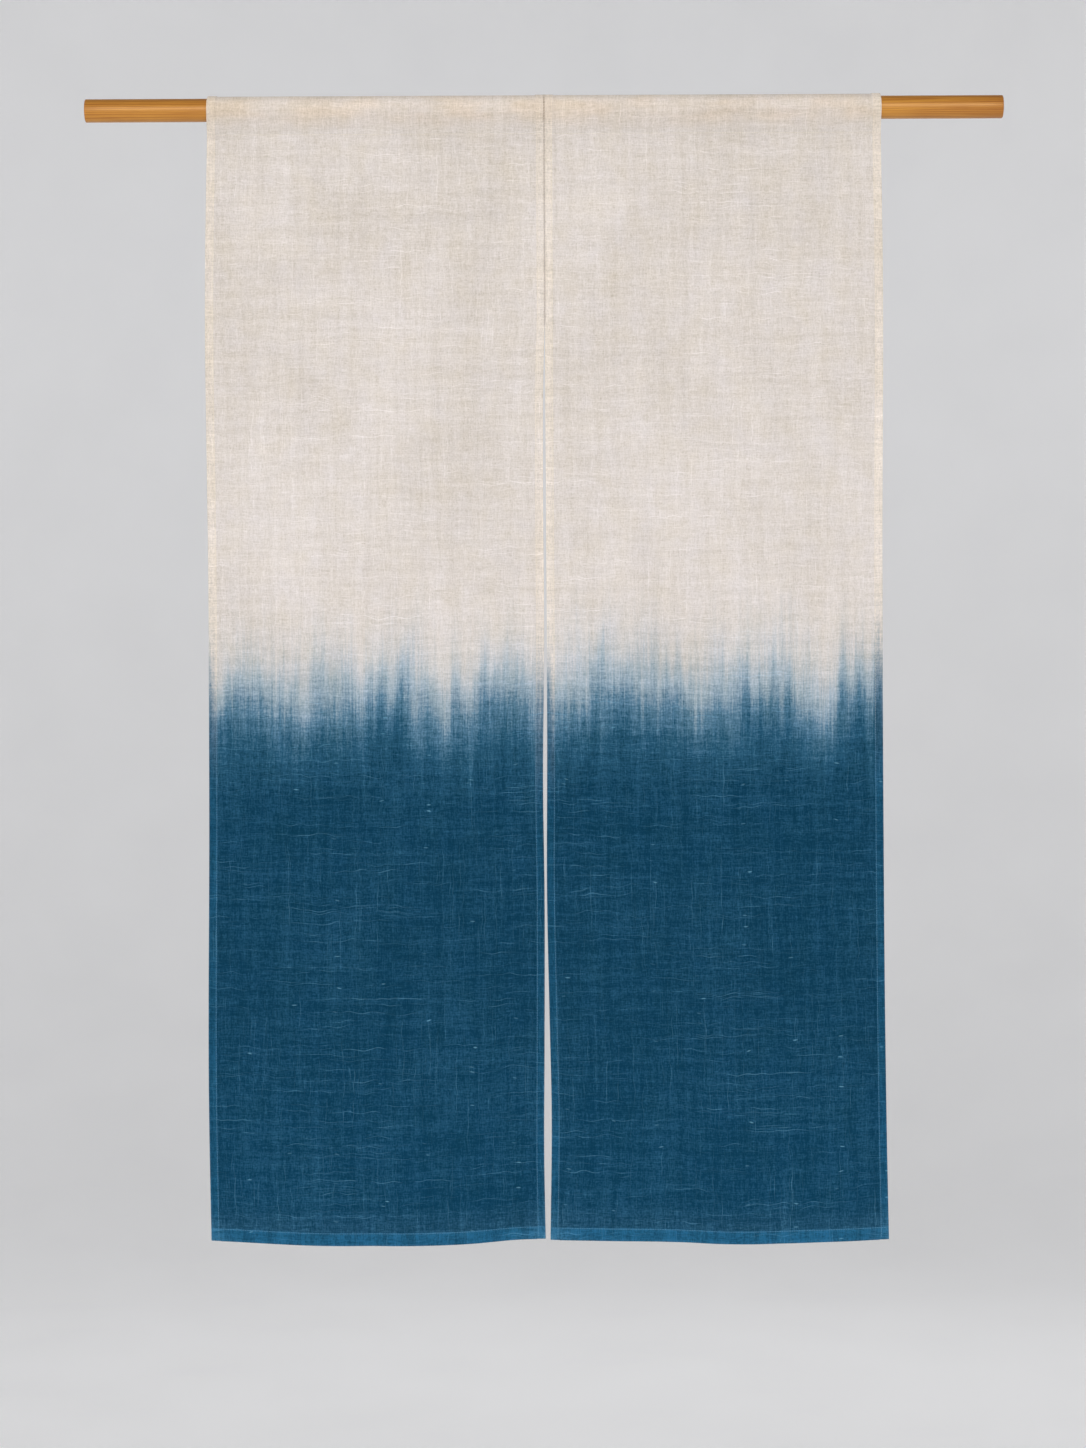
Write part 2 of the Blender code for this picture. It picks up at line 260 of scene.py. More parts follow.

# A panel: where each upright edge hangs from, how it drifts and its hem, how much the slit's edge
# is lightened by rubbing and painted highlight, how strongly the slit's hem shows above the dye,
# a lower value painting shade on it, and the panel's own tables
Panel = namedtuple(
    "Panel",
    "name left_x left_edge left_hem right_x right_edge right_hem slit_wear bare_slit_hem sag folds"
    " creases tongues",
)
PANELS = (
    Panel(
        name="panel_left",
        left_x=CURTAIN_LEFT,
        left_edge=OUTER_EDGE_LEFT,
        left_hem=OUTER_HEM,
        right_x=SEAM_X,
        right_edge=SLIT_EDGE_LEFT,
        right_hem=SLIT_HEM,
        slit_wear=1.0,
        bare_slit_hem=0.7,
        sag=HEM_SAG_LEFT,
        folds=FOLDS_LEFT,
        creases=CREASES_LEFT,
        tongues=TONGUES_LEFT,
    ),
    Panel(
        name="panel_right",
        left_x=SEAM_X,
        left_edge=SLIT_EDGE_RIGHT,
        left_hem=SLIT_HEM,
        right_x=CURTAIN_RIGHT,
        right_edge=OUTER_EDGE_RIGHT,
        right_hem=OUTER_HEM,
        slit_wear=0.35,
        bare_slit_hem=0.95,
        sag=HEM_SAG_RIGHT,
        folds=FOLDS_RIGHT,
        creases=CREASES_RIGHT,
        tongues=TONGUES_RIGHT,
    ),
)


def shade(red, green, blue):
    """A colour given as on a screen, 0 to 255, turned into the linear values that Blender uses."""
    screen = np.array([red, green, blue]) / 255
    linear = np.where(screen <= 0.04045, screen / 12.92, ((screen + 0.055) / 1.055) ** 2.4)
    return tuple(float(value) for value in linear)


# Settings that a user changes in the sidebar


def length_setting(name, description, default, low, high):
    """A setting in metres."""
    return bpy.props.FloatProperty(
        name=name, description=description, default=default, min=low, max=high, unit="LENGTH"
    )


def share_setting(name, description, default, low, high):
    """A setting that is a share or a factor."""
    return bpy.props.FloatProperty(
        name=name, description=description, default=default, min=low, max=high, subtype="FACTOR"
    )


def colour_setting(name, description, *screen):
    """A colour setting, with its default given as on a screen."""
    return bpy.props.FloatVectorProperty(
        name=name, description=description, default=shade(*screen), size=3, subtype="COLOR",
        min=0.0, max=1.0,
    )


class NorenCloth(bpy.types.PropertyGroup):
    """The linen: how thick it is and how it is woven and dyed."""

    thickness: length_setting(
        "Cloth thickness", "How thick one layer of the linen is", 0.45 * MM, 0.2 * MM, 0.9 * MM
    )
    layer_step: length_setting(
        "Layer step", "From the middle of one layer in a hem to the middle of the next",
        0.5 * MM, 0.25 * MM, 1.0 * MM,
    )
    thread_pitch: length_setting(
        "Thread pitch", "From one thread of the weave to the next", 0.9 * MM, 0.4 * MM, 2.0 * MM
    )
    dye_drop: length_setting(
        "Dye line", "How far below the top crease the cloth is dyed to half strength, on average",
        786 * MM, 0.1, 1.45,
    )
    undyed: colour_setting("Undyed linen", "The bare cloth above the dye", 222, 213, 205)
    faint_dye: colour_setting("Faint dye", "The cloth where the dye has only crept up", 164, 179, 188)
    half_dye: colour_setting("Half dye", "The cloth on the dye line", 86, 124, 147)
    deep_dye: colour_setting("Deep dye", "The cloth some way below the dye line", 37, 86, 112)
    full_dye: colour_setting(
        "Full dye", "The darkest threads of the cloth that was dipped all the way", 3, 58, 84
    )
    undyed_hem: colour_setting(
        "Undyed hem", "The bare cloth where a hem lies behind it", 233, 221, 207
    )
    dyed_hem: colour_setting("Dyed hem", "The dyed cloth where a hem lies behind it", 31, 93, 126)


class NorenThread(bpy.types.PropertyGroup):
    """The sewing thread along the hems, the pocket and the seam."""

    stitch_pitch: length_setting(
        "Stitch pitch", "From the start of one stitch to the start of the next",
        3.2 * MM, 1.5 * MM, 8.0 * MM,
    )
    stitch_share: share_setting(
        "Stitch share", "How much of the pitch the thread shows for", 0.8, 0.3, 0.95
    )
    thickness: length_setting(
        "Thread thickness", "How thick the sewing thread is", 0.42 * MM, 0.15 * MM, 1.0 * MM
    )
    undyed: colour_setting("Undyed thread", "The thread above the dye", 240, 230, 212)
    dyed: colour_setting("Dyed thread", "The thread where it was dipped with the cloth", 88, 145, 182)


class NorenRod(bpy.types.PropertyGroup):
    """The varnished rod."""

    wood: colour_setting("Wood", "The body colour of the wood under its varnish", 211, 147, 61)
    grain: colour_setting("Grain", "The darker, redder late growth of the wood", 161, 95, 37)
    edge_round: length_setting(
        "Edge rounding", "The radius worked on the rim of each end", 1.2 * MM, 0.2 * MM, 5.0 * MM
    )


class NorenStage(bpy.types.PropertyGroup):
    """The plain floor and backdrop, the lights and the camera."""

    floor_drop: length_setting(
        "Floor below rod", "How far the floor lies below the rod", 2.6, 1.6, 4.0
    )
    backdrop: colour_setting("Backdrop", "The floor and backdrop behind the curtain", 226, 226, 227)
    room_glow: share_setting(
        "Room glow", "How much the pale room around the curtain lights it by itself", 0.31, 0.0, 2.0
    )
    key_power: bpy.props.FloatProperty(
        name="Key light",
        description="The power of the large soft light in front",
        default=106.0,
        min=0.0,
        max=3000.0,
        unit="POWER",
    )
    camera_distance: length_setting(
        "Camera distance", "How far in front of the cloth the camera stands", 4.0, 1.5, 12.0
    )


# Reading the tables


def smooth_read(points, places):
    """Reads a table of two columns on a smooth curve (cubic, with sloped ends) through its rows."""
    rows, values = np.array(points, dtype=float).T
    slopes = np.gradient(values, rows)
    places = np.clip(places, rows[0], rows[-1])
    low = np.clip(np.searchsorted(rows, places) - 1, 0, len(rows) - 2)
    span = rows[low + 1] - rows[low]
    part = (places - rows[low]) / span
    rise = part * part * (3 - 2 * part)
    leave = part * (1 - part) ** 2 * span * slopes[low]
    arrive = part * part * (part - 1) * span * slopes[low + 1]
    return values[low] * (1 - rise) + values[low + 1] * rise + leave + arrive


def smooth_step(value, start, full):
    """Rises smoothly from 0 at start to 1 at full."""
    part = np.clip((value - start) / (full - start), 0, 1)
    return part * part * (3 - 2 * part)


def bell(value, centre, half_width):
    """1 at the centre, falling off on both sides as exp(-(distance / half width) squared)."""
    return np.exp(-(((value - centre) / half_width) ** 2))


def fold_depth(panel, inward, drop):
    """How far the folds and creases push the cloth to the back, inward metres from its left edge."""
    depth = np.zeros_like(drop)
    for fold in panel.folds:
        shape = bell(inward, fold.centre * MM, fold.half_width * MM)
        depth += fold.depth * MM * shape * smooth_step(drop, fold.start * MM, fold.full * MM)
    for crease in panel.creases:
        centre = crease.centre * MM + crease.lean * (drop - crease.start * MM)
        middle = (crease.start + crease.end) / 2 * MM
        reach = (crease.end - crease.start) / 2 * MM
        fade = np.clip(1 - np.abs((drop - middle) / reach) ** 2, 0, None)
        depth += crease.depth * MM * bell(inward, centre, crease.half_width * MM) * fade
    return depth


def dye_rise(panel, inward, drop, dye_drop):
    """How far the dye line climbs at each place: the sum of the panel's leaning bell-shaped tongues."""
    rise = np.zeros_like(drop)
    for tongue in panel.tongues:
        centre = tongue.centre * MM + tongue.lean * (dye_drop - drop)
        rise += TONGUE_REACH * tongue.rise * MM * bell(
            inward, centre, TONGUE_SPREAD * tongue.half_width * MM
        )
    return rise


# Building meshes


def run_length(*coordinates):
    """The length along a line from its first point, from the arrays of its coordinates."""
    steps = np.sqrt(sum(np.diff(values) ** 2 for values in coordinates))
    return np.concatenate([[0.0], np.cumsum(steps)])


def points_at(values, lengths, places):
    """A line's points or directions at places along its length."""
    return np.stack([np.interp(places, lengths, axis) for axis in values.T], axis=1)


def grid(*coordinates):
    """Arrays of coordinates, spread to one shape and stacked as points."""
    return np.stack(np.broadcast_arrays(*coordinates), axis=-1)


def set_values(mesh, name, values):
    """Stores one number for each vertex under this name."""
    layer = mesh.attributes.new(name, "FLOAT", "POINT")
    layer.data.foreach_set("value", np.ascontiguousarray(values, dtype=np.float32).ravel())


def mesh_piece(name, points, faces, material):
    """Puts the arrays of points and faces into a smooth-shaded object at the origin."""
    mesh = bpy.data.meshes.new(name)
    mesh.from_pydata(points.reshape(-1, 3).tolist(), [], faces)
    mesh.shade_smooth()
    mesh.materials.append(material)
    mesh.update()
    piece = bpy.data.objects.new(name, mesh)
    bpy.context.scene.collection.objects.link(piece)
    return piece


def grid_faces(rows, columns, around=False):
    """Four-sided faces between neighbours of a grid whose vertices are numbered row by row."""
    numbers = np.arange(rows * columns).reshape(rows, columns)
    if around:
        numbers = np.concatenate([numbers, numbers[:, :1]], axis=1)
    low, high = numbers[:-1], numbers[1:]
    return np.stack([low[:, :-1], low[:, 1:], high[:, 1:], high[:, :-1]], axis=-1).reshape(-1, 4)


# The cloth: a flat cut, turned in at its sides, then folded up at its foot and over the rod


Columns = namedtuple("Columns", "offset across layer bulk inward hem flat")


def side_hem(hem, cloth):
    """A double-turned side hem in section, from its raw edge round to the start of the face.

    A straight run between the other layers, a half circle, a straight run back and a half circle
    of twice the radius. Returns the distances in from the finished edge and the layers' depths.
    """
    step = cloth.layer_step
    inner_middle = hem - cloth.thickness / 2 - step / 2
    outer_middle = cloth.thickness / 2 + step
    turn = np.linspace(0, math.pi, TURN_STEPS + 2)[1:-1]
    raw = np.linspace(hem - TURN_UNDER, inner_middle, 3)
    strip = np.linspace(inner_middle, outer_middle, 4)
    inward = np.concatenate(
        [raw, inner_middle + step / 2 * np.sin(turn), strip, outer_middle - step * np.sin(turn)]
    )
    depth = np.concatenate(
        [
            np.full_like(raw, step),
            step * 1.5 - step / 2 * np.cos(turn),
            np.full_like(strip, 2 * step),
            step + step * np.cos(turn),
        ]
    )
    return inward, depth


def face_near_hem(hem, cloth):
    """Places on the face beside a hem: closer together at the fold and at the hem's inner edge."""
    fold = cloth.thickness / 2 + cloth.layer_step
    across_hem = np.array([fold, 2.2 * MM, 4.5 * MM, 7.0 * MM])
    at_edge = hem + np.array([-1.9, -1.4, -1.0, -0.6, -0.2, 0.3, 1.1]) * MM
    return np.concatenate([across_hem, at_edge])


def cut_columns(panel, cloth):
    """The columns of the flat cut, from the left raw edge to the right one.

    A column's place is its panel's left edge, plus offset, plus across times the width between the
    hems. Layer is how deep it lies behind the face, bulk is 1 where a side hem lies behind and
    flat is its place on the cut.
    """
    left_margin = panel.left_hem + HEM_RAMP
    right_margin = panel.right_hem + HEM_RAMP
    width = panel.right_x - panel.left_x
    middle_width = width - left_margin - right_margin
    left_in, left_depth = side_hem(panel.left_hem, cloth)
    right_in, right_depth = side_hem(panel.right_hem, cloth)
    left_face = face_near_hem(panel.left_hem, cloth)
    right_face = face_near_hem(panel.right_hem, cloth)
    middle = np.linspace(0, 1, MIDDLE_COLUMNS)

    left_side = np.concatenate([left_in, left_face])
    right_side = np.concatenate([right_face[::-1], right_in[::-1]])
    offset = np.concatenate(
        [left_side, np.full_like(middle, left_margin), left_margin + right_margin - right_side]
    )
    across = np.concatenate([np.zeros_like(left_side), middle, np.ones_like(right_side)])
    face = np.zeros(len(left_face) + len(middle) + len(right_face))
    layer = np.concatenate([left_depth, face, right_depth[::-1]])
    inward = offset + across * middle_width
    on_left = 1 - smooth_step(inward, panel.left_hem, left_margin)
    on_right = 1 - smooth_step(width - inward, panel.right_hem, right_margin)
    hem = ((inward < panel.left_hem) | (width - inward < panel.right_hem)).astype(float)
    flat = run_length(inward, layer)
    return Columns(offset, across, layer, np.maximum(on_left, on_right), inward, hem, flat)


Path = namedtuple("Path", "y z front stitched_front stitched_back hem_front hem_back")


def lay_length(bulk, cloth):
    """The cut's length in section, as rows of y and z for each column: from the raw edge in the
    bottom hem, round the hem, up the face, over the rod, down the back and into the pocket's edge.

    The bottom hem and the pocket's edge are half circles between layers, and the pocket is a pair
    of lines from the stitches, tangent to a circle round the rod, that meet in a rounded crease
    above it. With a side hem behind (bulk 1) there are nine layers where there are three.
    """
    step = cloth.layer_step
    half = cloth.thickness / 2
    back = step * (2 + 6 * bulk)
    tucked = step * (1 + 2 * bulk)
    fold = back / 2
    turn_radius = (back - tucked) / 2
    foot = CREASE_TOP - CURTAIN_DROP
    foot_middle = foot + half + fold
    hem_middle = foot + BOTTOM_HEM - half - turn_radius
    turn = np.linspace(0, math.pi, TURN_STEPS + 2)[1:-1, None]
    ones = np.ones_like(bulk)

    rows = []

    def add(depth, height):
        """Adds rows at these depths behind the face and heights, and returns their numbers."""
        depth, height = np.broadcast_arrays(np.atleast_2d(depth * ones), height * ones)
        start = sum(len(part[0]) for part in rows)
        rows.append((depth, height))
        return np.arange(start, start + len(depth))

    along = np.linspace(0, 1, 3)[:, None]
    raw_height = foot + BOTTOM_HEM - TURN_UNDER
    add(tucked, raw_height + along * (hem_middle - raw_height))
    add((back + tucked) / 2 - turn_radius * np.cos(turn), hem_middle + turn_radius * np.sin(turn))
    along = np.linspace(0, 1, 6)[:, None]
    strip = add(back, hem_middle + along * (foot_middle - hem_middle))
    add(fold + fold * np.cos(turn), foot_middle - fold * np.sin(turn))

    # The face: close rows at the hem's stitches and under the pocket, even rows between
    at_hem = foot + BOTTOM_HEM + np.array([-12, -8, -4, -1.9, -1.4, -1, -0.6, -0.2, 0.3, 1.1]) * MM
    even = np.linspace(foot + BOTTOM_HEM + 4 * MM, -STITCH_DEPTH - 14 * MM, FRONT_ROWS)
    under_pocket = -STITCH_DEPTH + np.array([-9, -6, -4, -2.4, -1.2, -0.5, 0.0]) * MM
    heights = np.concatenate([at_hem, even, under_pocket])[:, None]
    face = np.concatenate([add(0.0, foot_middle), add(0.0, heights)])

    # The pocket, by angle from straight up, towards the back
    radius = POCKET_RADIUS - half + POCKET_HEM_EXTRA * bulk
    face_y = -FRONT_FACE + half
    crease = np.arccos(radius / (CREASE_TOP - half + POCKET_HEM_EXTRA * bulk))

    def tangent(y, side):
        """The angles of a stitch line at this y, and of the point where its line meets the circle."""
        at_stitch = side * np.arccos(-STITCH_DEPTH / np.hypot(y, STITCH_DEPTH) * ones)
        reach = np.hypot(y, STITCH_DEPTH) * ones
        return at_stitch, at_stitch - side * np.arccos(radius / reach)

    front_stitch, front_touch = tangent(face_y, -1)
    back_stitch, back_touch = tangent(face_y + back, 1)
    line = np.linspace(0, 1, 6)[1:, None]
    arc = np.linspace(0, 1, 9)[1:, None]
    peak = np.linspace(0, 1, 11)[1:, None]
    angles = np.concatenate(
        [
            front_stitch + line * (front_touch - front_stitch),
            front_touch + arc * (-crease - front_touch),
            -crease + peak * 2 * crease,
            crease + arc * (back_touch - crease),
            back_touch + line * (back_stitch - back_touch),
        ]
    )
    past_line = np.where(angles < 0, front_touch - angles, angles - back_touch)
    rounded = np.sqrt(angles**2 + CREASE_ROUND**2)
    past_peak = crease - rounded
    reach = radius / np.cos(np.clip(past_line, 0, None)) / np.cos(np.clip(past_peak, 0, None))
    over = add(reach * np.sin(angles) - face_y, reach * np.cos(angles))

    edge_middle = -POCKET_EDGE_DEPTH + half + turn_radius
    along = np.linspace(0, 1, 4)[1:, None]
    add(back, -STITCH_DEPTH + along * (edge_middle + STITCH_DEPTH))
    add((back + tucked) / 2 + turn_radius * np.cos(turn), edge_middle - turn_radius * np.sin(turn))
    along = np.linspace(0, 1, 4)[:, None]
    add(tucked, edge_middle + along * (POCKET_RETURN_TOP - edge_middle))

    y = np.concatenate([part[0] for part in rows]) + face_y
    z = np.concatenate([part[1] for part in rows])
    # The hem's stitches follow the row at their inset on the face, and the nearest one behind
    return Path(
        y=y,
        z=z,
        front=face,
        stitched_front=face[-1],
        stitched_back=over[-1],
        hem_front=face[6],
        hem_back=strip[1],
    )


Hung = namedtuple("Hung", "points path columns drop inward outward out")


def hang_panel(panel, cloth):
    """A panel's whole sheet as a grid of points, rows along its length and columns across it.

    Each row's section is offset to the wrong side by the column's layer depth, set between the
    drifting edges, lowered by the hem's sag and pushed to the back by folds and creases. Hems
    stand out a little, as a bell across their width, and a narrower bell pulls in their stitches.
    """
    columns = cut_columns(panel, cloth)
    path = lay_length(columns.bulk, cloth)
    run_y = np.gradient(path.y, axis=0)
    run_z = np.gradient(path.z, axis=0)
    run = np.hypot(run_y, run_z)
    y = path.y + columns.layer * run_z / run
    z = path.z - columns.layer * run_y / run
    out = np.stack([np.zeros_like(y), -run_z / run, run_y / run], axis=-1)

    drop = CREASE_TOP - z
    left = panel.left_x + MM * smooth_read(panel.left_edge, drop / MM)
    right = panel.right_x + MM * smooth_read(panel.right_edge, drop / MM)
    margins = panel.left_hem + panel.right_hem + 2 * HEM_RAMP
    x = left + columns.offset + columns.across * (right - left - margins)
    inward = x - left
    outward = right - x

    y = y + fold_depth(panel, inward, drop)
    below_pocket = smooth_step(drop, 56 * MM, 75 * MM)
    for distance, hem in ((inward, panel.left_hem), (outward, panel.right_hem)):
        y = y - HEM_PUFF * bell(distance, hem * 0.45, hem * 0.4) * below_pocket
        y = y + STITCH_PULL * bell(distance, hem - STITCH_INSET, 0.8 * MM) * below_pocket
    from_foot = CURTAIN_DROP - drop
    y = y - HEM_PUFF * bell(from_foot, BOTTOM_HEM * 0.45, BOTTOM_HEM * 0.4)
    y = y + STITCH_PULL * bell(from_foot, BOTTOM_HEM - STITCH_INSET, 0.8 * MM)

    across = inward / (right - left)
    z = z - MM * smooth_read(panel.sag, across) * (drop / CURTAIN_DROP) ** 2
    return Hung(np.stack([x, y, z], axis=-1), path, columns, drop, inward, outward, out)


def surface_values(panel, hung, cloth):
    """What the linen's material reads at each vertex, as arrays by name.

    Dye depth is how far past the dye line it lies. Hem layers, with painted shade on one slit hem,
    the folded edges' rubbing and painted highlight, the seam's painted shadow and the stitch lines
    are masks: steps at the hems, and bells about edges, corners and lines.
    """
    rise = dye_rise(panel, hung.inward, hung.drop, cloth.dye_drop)
    to_foot = CURTAIN_DROP - hung.drop
    to_slit, to_outside = hung.outward, hung.inward
    if panel.left_x == SEAM_X:
        to_slit, to_outside = hung.inward, hung.outward

    # Above the dye, the slit's hem shows less on one panel than on the other: painted shade
    below_dye = smooth_step(hung.drop, 0.6, 0.85)
    at_slit_with_shade = panel.bare_slit_hem * (1 - below_dye) + below_dye
    side_layers = SIDE_LAYERS * hung.columns.hem * np.where(to_slit < to_outside, at_slit_with_shade, 1.0)

    open_slit = smooth_step(hung.drop, SEWN_DROP, SEWN_DROP + 12 * MM)
    # Lighter edges, corners and a band above the foot hem: partly rubbing, partly painted highlight
    edge_wear_and_highlight = panel.slit_wear * bell(to_slit, 0.0, 1.2 * MM) * open_slit
    edge_wear_and_highlight = edge_wear_and_highlight + 0.45 * bell(to_outside, 0.0, 1.0 * MM) + 0.25 * bell(to_foot, 0.0, 1.0 * MM)
    above_foot = smooth_step(to_foot, BOTTOM_HEM + 38 * MM, BOTTOM_HEM)
    edge_wear_and_highlight = edge_wear_and_highlight + 0.18 * above_foot * (to_foot > BOTTOM_HEM)
    for side, tip, around_tip in ((to_slit, 1.2, 0.45), (to_outside, 0.7, 0.3)):
        corner = np.hypot(side, to_foot)
        edge_wear_and_highlight = edge_wear_and_highlight + tip * bell(corner, 0.0, 4 * MM) + around_tip * bell(corner, 0.0, 24 * MM)

    side_stitches = bell(np.minimum(to_slit, to_outside), OUTER_HEM - STITCH_INSET, 0.7 * MM)
    foot_stitches = bell(to_foot, BOTTOM_HEM - STITCH_INSET, 0.8 * MM)
    return {
        "dye_depth": hung.drop - cloth.dye_drop + rise,
        "hem_layers": side_layers + FOOT_LAYERS * (to_foot < BOTTOM_HEM),
        "fold_wear_and_highlight": np.clip(edge_wear_and_highlight, 0, 1.5),
        # Painted shadow: a dark line between the sewn edges of the seam
        "seam_painted_shade": bell(to_slit, 0.0, 0.75 * MM) * (1 - open_slit),
        "stitch_line": np.maximum(side_stitches, foot_stitches),
    }


def make_panel(panel, cloth, material):
    """One panel as a thin sheet, with its cut's own UV map and the values that its dye reads."""
    hung = hang_panel(panel, cloth)
    faces = grid_faces(*hung.drop.shape)
    piece = mesh_piece(panel.name + "_linen", hung.points, faces.tolist(), material)
    mesh = piece.data

    plain = np.argmin(hung.columns.bulk)
    flat_rows = run_length(hung.path.y[:, plain], hung.path.z[:, plain])
    cut = grid(hung.columns.flat[None, :] + panel.left_x, flat_rows[:, None])
    corners = np.empty(len(mesh.loops), dtype=np.int32)
    mesh.loops.foreach_get("vertex_index", corners)
    uv = mesh.uv_layers.new(name="cut")
    uv.data.foreach_set("uv", cut.reshape(-1, 2)[corners].astype(np.float32).ravel())
    for name, values in surface_values(panel, hung, cloth).items():
        set_values(mesh, name, values)

    wall = piece.modifiers.new("cloth thickness", "SOLIDIFY")
    wall.thickness = cloth.thickness
    wall.offset = 0.0
    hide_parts(panel.name)
    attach(piece, "root")
    flat_size = (float(np.ptp(hung.columns.flat)), float(flat_rows[-1]))
    return piece, hung, flat_size


# Threads


def thread_piece(name, stitches, thread, material):
    """Many short lengths of thread as one piece, from arrays of their starts, ends and outward
    directions.

    Each is a six-sided tube along the line from start to end, lifted outwards as a sine from just
    under the cloth to half its thickness above it, and a little thinner at its closed ends.
    """
    starts, ends, outward = (np.concatenate(arrays) for arrays in zip(*stitches))
    stations = np.array([0.0, 0.3, 0.7, 1.0])
    sides = np.arange(THREAD_SIDES) / THREAD_SIDES * 2 * math.pi
    radius = thread.thickness / 2
    lift = radius * (1.1 * np.sin(stations * math.pi) - 0.3)
    size = radius * (0.7 + 0.3 * np.sin(stations * math.pi))

    run = ends - starts
    run /= np.linalg.norm(run, axis=1, keepdims=True)
    outward = outward / np.linalg.norm(outward, axis=1, keepdims=True)
    beside = np.cross(run, outward)
    beside /= np.linalg.norm(beside, axis=1, keepdims=True)
    upward = np.cross(beside, run)

    line = starts[:, None] + stations[None, :, None] * (ends - starts)[:, None]
    line = line + lift[None, :, None] * outward[:, None]
    across = np.cos(sides)[:, None] * beside[:, None, None]
    ring = across + np.sin(sides)[:, None] * upward[:, None, None]
    points = line[:, :, None] + size[None, :, None, None] * ring

    one = grid_faces(len(stations), THREAD_SIDES, around=True)
    end = np.arange(THREAD_SIDES)
    caps = np.array([end[::-1], end + THREAD_SIDES * (len(stations) - 1)])
    first = np.arange(len(starts))[:, None, None] * len(stations) * THREAD_SIDES
    faces = (one + first).reshape(-1, 4).tolist() + (caps + first).reshape(-1, THREAD_SIDES).tolist()
    piece = mesh_piece(name, points, faces, material)
    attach(piece, "root")
    return piece


def running_stitches(line, outward, thread):
    """Starts, ends and outward directions of stitches along a line of points, evenly by its length."""
    lengths = run_length(*line.T)
    count = int((lengths[-1] - 2 * LINE_END) / thread.stitch_pitch)
    starts = LINE_END + np.arange(count) * thread.stitch_pitch
    ends = starts + thread.stitch_share * thread.stitch_pitch
    begin, finish = (points_at(line, lengths, places) for places in (starts, ends))
    return begin, finish, np.broadcast_to(outward, begin.shape)


def panel_stitches(panel, hung, cloth, thread, material):
    """The running stitches of one panel: both side hems, the bottom hem and the pocket, on the
    face and on the back."""
    columns = hung.columns
    half = cloth.thickness / 2
    hem_back = 2 * cloth.layer_step
    width = panel.right_x - panel.left_x
    front = hung.path.front
    face_columns = np.flatnonzero(columns.layer == 0)
    face_inward = columns.inward[face_columns]
    sides = (
        np.argmin(np.abs(face_inward - (panel.left_hem - STITCH_INSET))),
        np.argmin(np.abs(width - face_inward - (panel.right_hem - STITCH_INSET))),
    )
    to_front = np.array([0.0, -1.0, 0.0])
    to_back = -to_front

    lines = []
    for side in sides:
        line = hung.points[front, face_columns[side]]
        lines.append((line + to_front * half, to_front))
        lines.append((line + to_back * (half + hem_back), to_back))
    for row, out in (
        (hung.path.hem_front, to_front),
        (hung.path.hem_back, to_back),
        (hung.path.stitched_front, to_front),
        (hung.path.stitched_back, to_back),
    ):
        lines.append((hung.points[row, face_columns] + out * half, out))
    stitches = [running_stitches(line, out, thread) for line, out in lines]
    return thread_piece(panel.name + "_stitches", stitches, thread, material)


def seam_stitches(left, right, cloth, thread, material):
    """Slanting stitches that join the panels' edges from the slit up, over the pocket and down
    the back to the pocket's stitches, on the cloth's outer and inner side."""
    left_edge = np.argmax(left.columns.inward)
    right_edge = np.argmin(right.columns.inward)
    first = np.argmax(left.drop[:, left_edge] < SEWN_DROP)
    rows = np.arange(first, left.path.stitched_back + 1)
    left_line = left.points[rows, left_edge]
    right_line = right.points[rows, right_edge]
    lengths = run_length(*((left_line + right_line) / 2).T)
    places = np.arange(LINE_END, lengths[-1], SEAM_PITCH)
    bite = np.array([SEAM_BITE, 0.0, 0.0])

    stitches = []
    for face, lift in ((1, cloth.layer_step + cloth.thickness * 0.3), (-1, cloth.layer_step)):
        outward = face * points_at(left.out[rows, left_edge], lengths, places)
        start = points_at(left_line, lengths, places) - bite + outward * lift
        end = points_at(right_line, lengths, places + SEAM_SLANT) + bite + outward * lift
        stitches.append((start, end, outward))
    return thread_piece("seam_stitches", stitches, thread, material)


# The rod


def make_rod(rod, material):
    """The rod as a profile of radii turned round the X axis: flat ends with quarter-round rims."""
    rim = np.linspace(0, math.pi / 2, 7)
    inner = ROD_RADIUS - rod.edge_round
    end_radii = np.array([0.12, 0.45, 0.8]) * inner
    rim_radii = inner + rod.edge_round * np.sin(rim)
    rim_x = rod.edge_round * (1 - np.cos(rim))
    body = np.linspace(rod.edge_round, ROD_LENGTH - rod.edge_round, 61)[1:-1]
    x = np.concatenate([np.zeros(3), rim_x, body, ROD_LENGTH - rim_x[::-1], np.full(3, ROD_LENGTH)])
    radii = np.concatenate(
        [end_radii, rim_radii, np.full(len(body), ROD_RADIUS), rim_radii[::-1], end_radii[::-1]]
    )
    angles = np.arange(ROD_SIDES) / ROD_SIDES * 2 * math.pi
    points = grid(x[:, None], radii[:, None] * np.sin(angles), radii[:, None] * np.cos(angles))
    last = (len(x) - 1) * ROD_SIDES
    faces = grid_faces(len(x), ROD_SIDES, around=True).tolist()
    faces.append(list(range(ROD_SIDES))[::-1])
    faces.append([last + side for side in range(ROD_SIDES)])
    piece = mesh_piece("rod_varnished", points, faces, material)
    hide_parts("rod")
    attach(piece, "root")
    return piece


# Shader nodes


class Wire:
    """A node's output. Adding, subtracting or multiplying it puts in the Math node that does so."""

    def __init__(self, tree, socket):
        self.tree = tree
        self.socket = socket

    def __add__(self, other):
        return joined("ADD", self, other)

    def __mul__(self, other):
        return joined("MULTIPLY", self, other)

    def __sub__(self, other):
        return joined("SUBTRACT", self, other)

    def __rsub__(self, other):
        return joined("SUBTRACT", other, self)


def feed(tree, socket, value):
    """Links a wire to an input, or sets the input to a number, vector or colour."""
    if isinstance(value, Wire):
        tree.links.new(value.socket, socket)
    else:
        socket.default_value = value


